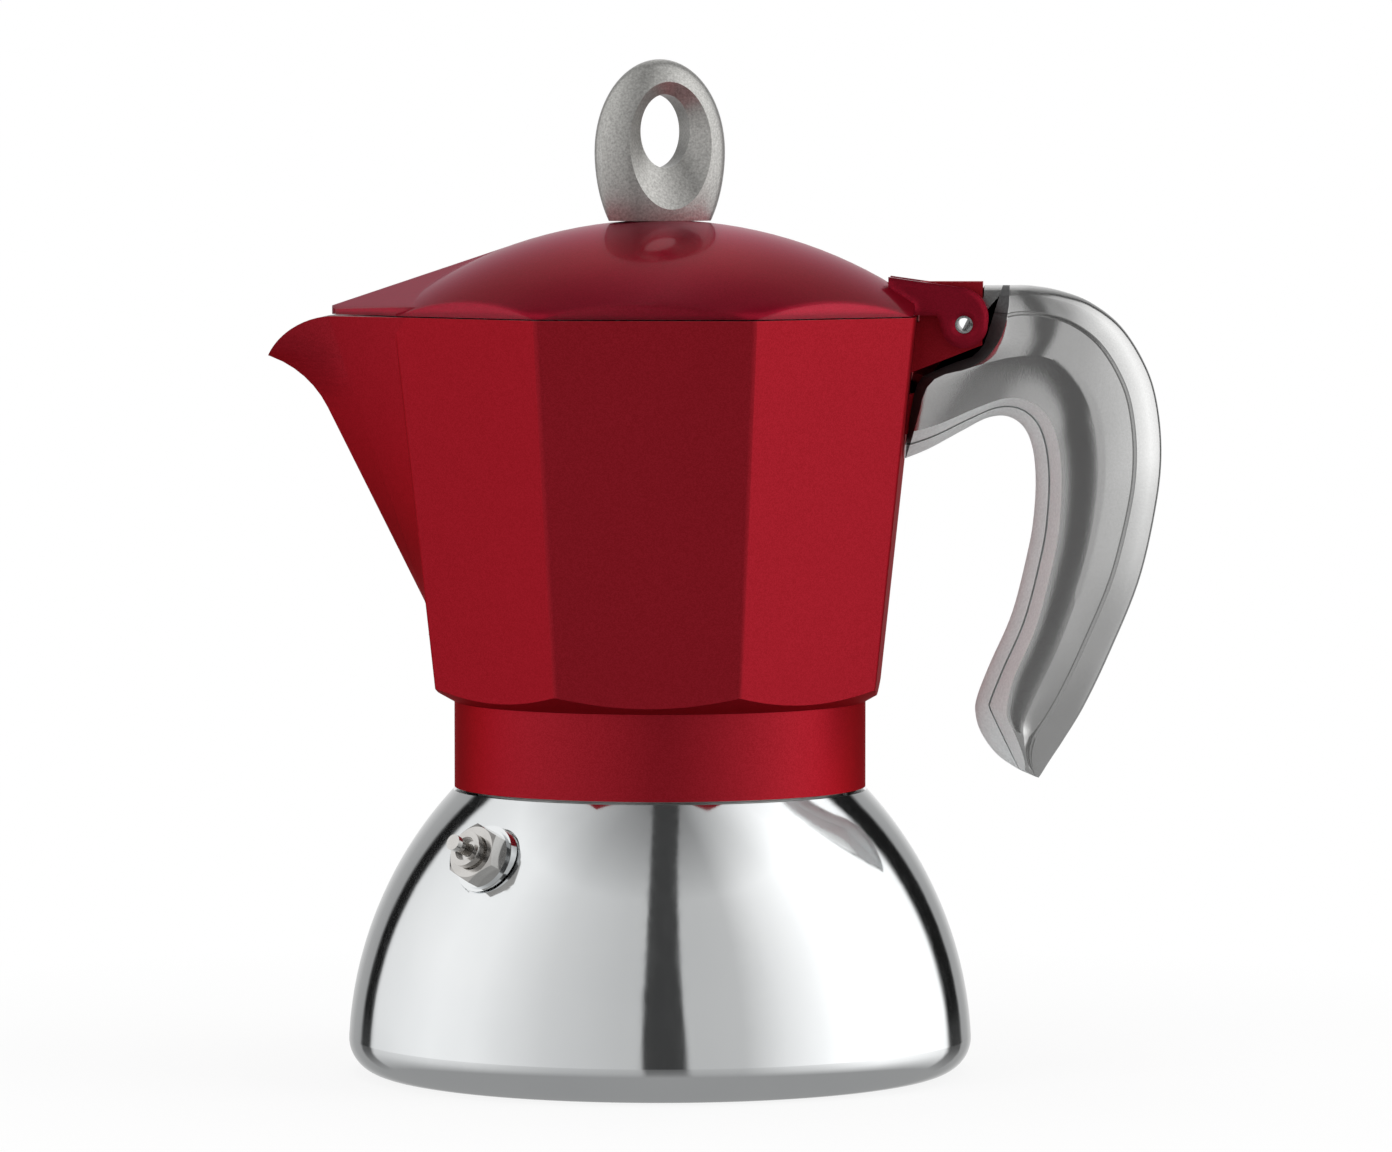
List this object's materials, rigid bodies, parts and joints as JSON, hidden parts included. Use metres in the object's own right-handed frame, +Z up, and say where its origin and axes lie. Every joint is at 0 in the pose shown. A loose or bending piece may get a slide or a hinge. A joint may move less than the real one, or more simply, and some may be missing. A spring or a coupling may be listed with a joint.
{
  "type": "moka pot",
  "caption": "Stove-top moka pot: steel bell boiler with safety valve, funnel and filter, red octagonal collector with V spout, hinged lid with ring knob, curved grey handle.",
  "frame": {"origin": "on the pot's axis, at the flat bottom of the boiler", "axes": "+Z up along the pot's axis, +X toward the handle, -X toward the spout"},
  "size_m": [0.156, 0.1088, 0.1765],
  "materials": {
    "polished_steel": "mirror polished stainless steel",
    "bare_aluminium": "as machined and cast, satin",
    "red_lacquer": "cast aluminium with satin red metallic lacquer",
    "nickel_brass": "nickel-plated turned brass",
    "spring_steel": "bright drawn steel",
    "white_rubber": "moulded silicone rubber",
    "grey_plastic": "satin grey moulded plastic",
    "grey_satin": "fine-grained satin grey"
  },
  "bodies": {
    "boiler": {"boiler_shell": "polished_steel", "boiler_liner": "bare_aluminium", "valve_body": "nickel_brass", "valve_washer": "nickel_brass", "valve_retainer": "nickel_brass", "valve_spring": "spring_steel"},
    "valve_stem": {"valve_stem": "nickel_brass", "valve_seal": "white_rubber"},
    "funnel": {"funnel_basket": "bare_aluminium", "funnel_tube": "bare_aluminium", "basket_sieve": "bare_aluminium"},
    "gasket": {"gasket": "white_rubber"},
    "filter_plate": {"filter_plate": "bare_aluminium"},
    "collector": {"collector": "red_lacquer", "hinge_pin": "spring_steel", "handle_near_shell": "grey_plastic", "handle_far_shell": "grey_plastic", "handle_mount_screw": "spring_steel", "handle_shell_screws": "spring_steel"},
    "lid": {"lid": "red_lacquer", "knob": "grey_satin", "knob_screw": "spring_steel", "knob_washer": "spring_steel"}
  },
  "joints": [
    {"name": "funnel_lift", "type": "slide", "parent": "boiler", "child": "funnel", "axis": [0, 0, 1], "range_m": [0, 0.065]},
    {"name": "collector_lift", "type": "slide", "parent": "funnel", "child": "gasket", "axis": [0, 0, 1], "range_m": [0, 0.06]},
    {"name": "unscrew_rise", "type": "slide", "parent": "gasket", "child": "filter_plate", "axis": [0, 0, 1], "range_m": [0, 0.0061]},
    {"name": "unscrew_turn", "type": "hinge", "parent": "filter_plate", "child": "collector", "pos_m": [0, 0, 0], "axis": [0, 0, 1], "range_deg": [0, 720]},
    {"name": "lid_hinge", "type": "hinge", "parent": "collector", "child": "lid", "pos_m": [0.0531, 0, 0.1306], "axis": [0, 1, 0], "range_deg": [0, 86]},
    {"name": "valve_slide", "type": "slide", "parent": "boiler", "child": "valve_stem", "axis": [-0.5771, -0.7127, 0.3987], "range_m": [0, 0.0012], "stiffness_N_per_m": 2000, "springref_m": -0.0005, "deforming": ["valve_spring"]}
  ],
  "couplings": [
    {"joint": "unscrew_rise", "follows": "unscrew_turn", "m_per_rad": 0.00047746}
  ]
}
